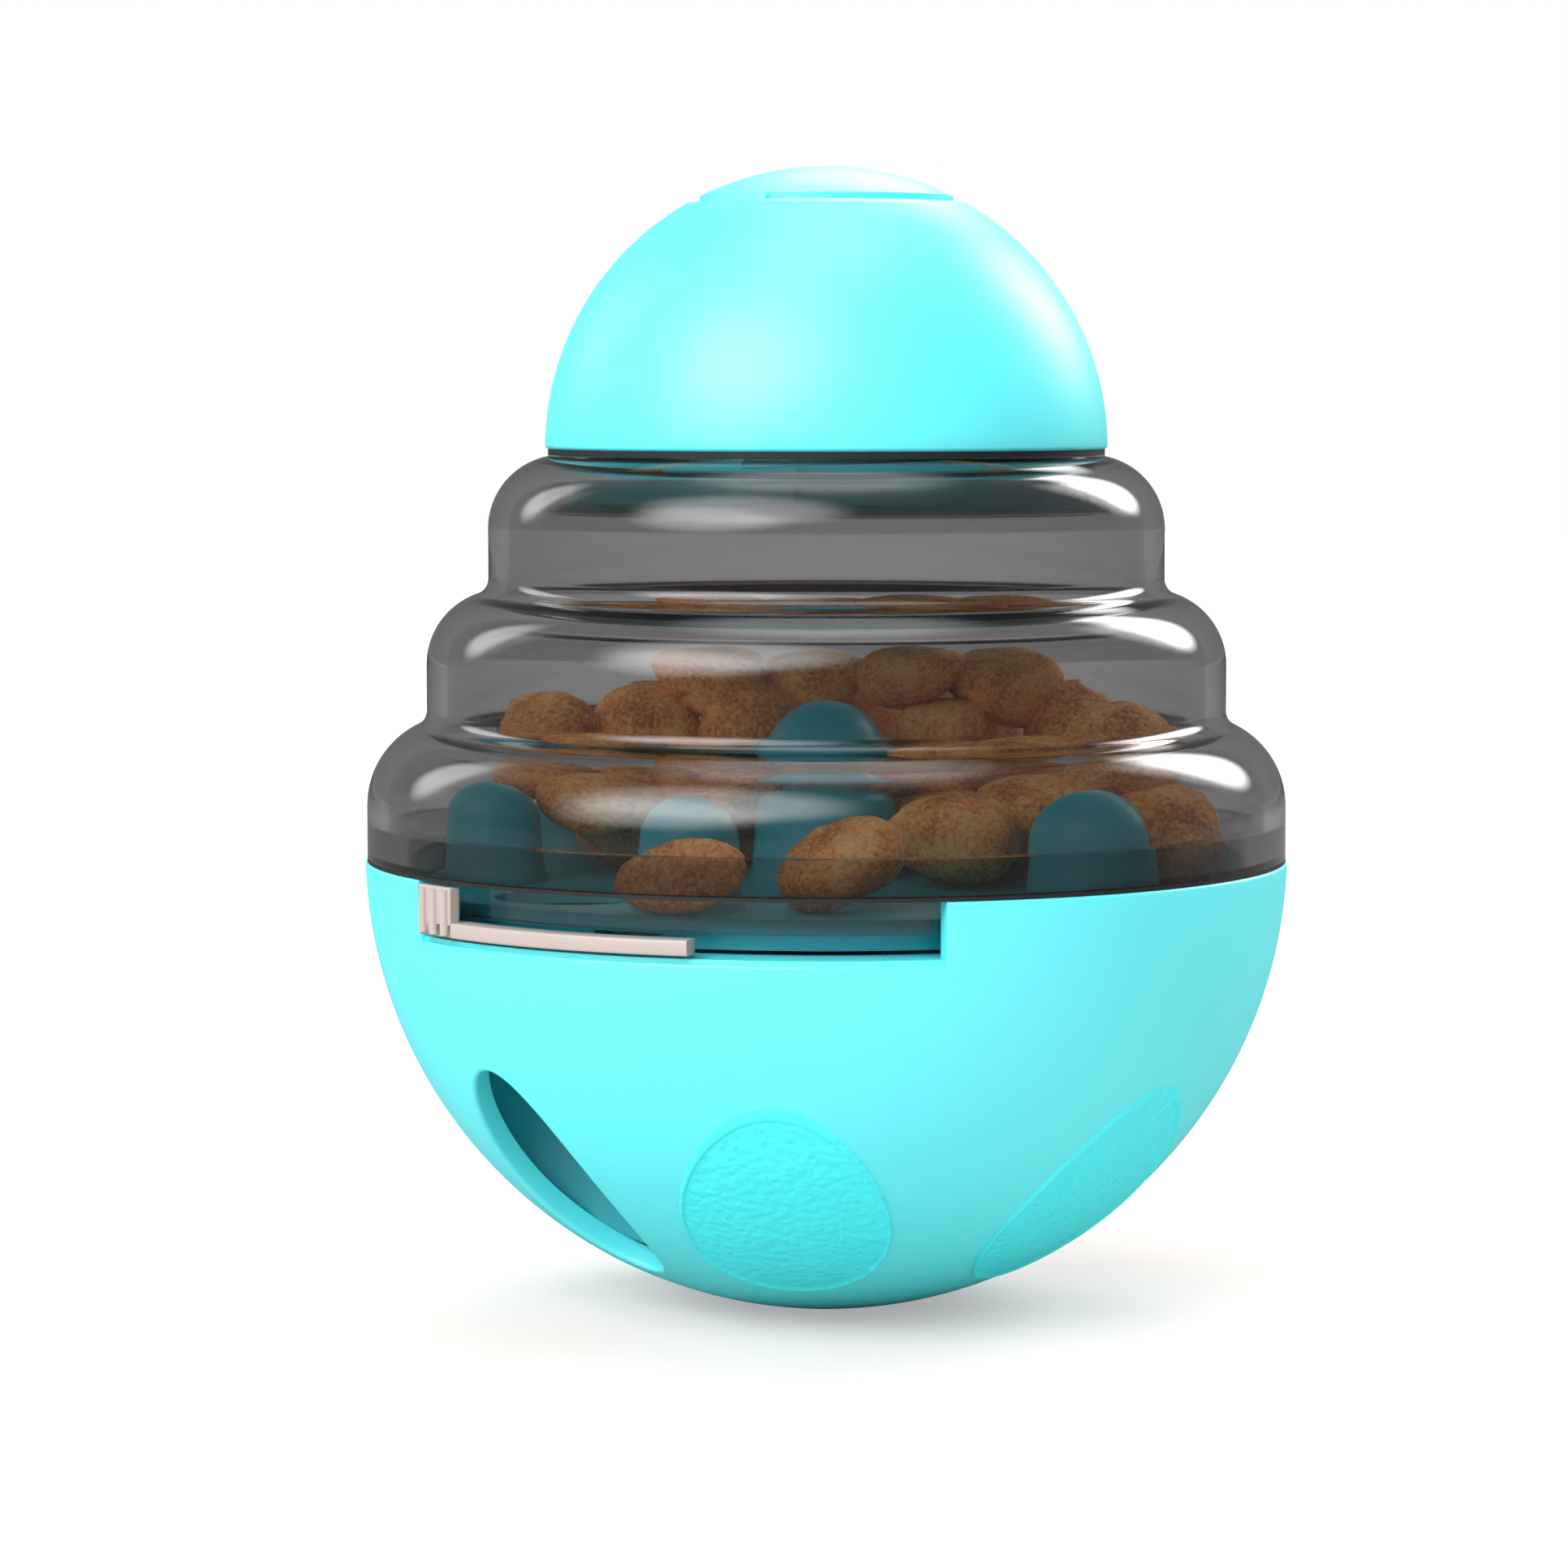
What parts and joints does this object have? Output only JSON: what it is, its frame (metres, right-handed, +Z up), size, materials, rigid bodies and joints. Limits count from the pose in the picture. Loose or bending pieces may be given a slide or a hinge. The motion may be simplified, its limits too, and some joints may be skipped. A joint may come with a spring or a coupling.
{
  "type": "treat dispensing wobble toy",
  "caption": "Weighted round-bottomed pet toy with a stepped smoke-clear dome, a screw cap, a gated maze tray and exit slots that drop treats as it rocks.",
  "frame": {"origin": "middle of the small flat that the cup stands on", "axes": "+Z up along the toy's axis; -Y is the front, with the rim notch and the gate lever; +X is the right"},
  "size_m": [0.1, 0.0998, 0.1232],
  "materials": {
    "aqua_abs": "satin moulded",
    "aqua_tpe": "pebbled soft rubber",
    "deep_aqua_abs": "satin moulded",
    "pale_grey_abs": "satin moulded",
    "smoke_clear": "polished clear",
    "dark_rubber": "matt",
    "steel_ballast": "plain machined",
    "steel_screw": "zinc plated"
  },
  "bodies": {
    "base": {"base_cup": "aqua_abs", "grip_pad_front": "aqua_tpe", "grip_pad_right": "aqua_tpe", "grip_pad_rear": "aqua_tpe", "grip_pad_left": "aqua_tpe", "ballast": "steel_ballast", "ballast_cover": "deep_aqua_abs", "cover_screws": "steel_screw", "gate_washer": "pale_grey_abs", "maze_tray": "deep_aqua_abs", "tray_knob": "deep_aqua_abs"},
    "gate": {"gate_disc": "deep_aqua_abs", "gate_lever": "pale_grey_abs"},
    "rim_seal": {"rim_seal": "dark_rubber"},
    "dome": {"dome": "smoke_clear"},
    "cap_gasket": {"cap_gasket": "dark_rubber"},
    "cap": {"cap": "aqua_abs"}
  },
  "joints": [
    {"name": "gate_turn", "type": "hinge", "parent": "base", "child": "gate", "pos_m": [0, 0, 0.0437], "axis": [0, 0, 1], "range_deg": [0, 26]},
    {"name": "dome_lift", "type": "slide", "parent": "base", "child": "rim_seal", "axis": [0, 0, 1], "range_m": [0, 0.006]},
    {"name": "dome_twist", "type": "hinge", "parent": "rim_seal", "child": "dome", "pos_m": [0, 0, 0.0489], "axis": [0, 0, 1], "range_deg": [0, 91]},
    {"name": "cap_lift", "type": "slide", "parent": "dome", "child": "cap_gasket", "axis": [0, 0, 1], "range_m": [0, 0.006]},
    {"name": "cap_twist", "type": "hinge", "parent": "cap_gasket", "child": "cap", "pos_m": [0, 0, 0.0928], "axis": [0, 0, 1], "range_deg": [0, 181]}
  ],
  "couplings": [
    {"joint": "dome_twist", "follows": "dome_lift", "rad_per_m": 261.8},
    {"joint": "cap_twist", "follows": "cap_lift", "rad_per_m": 523.6}
  ]
}
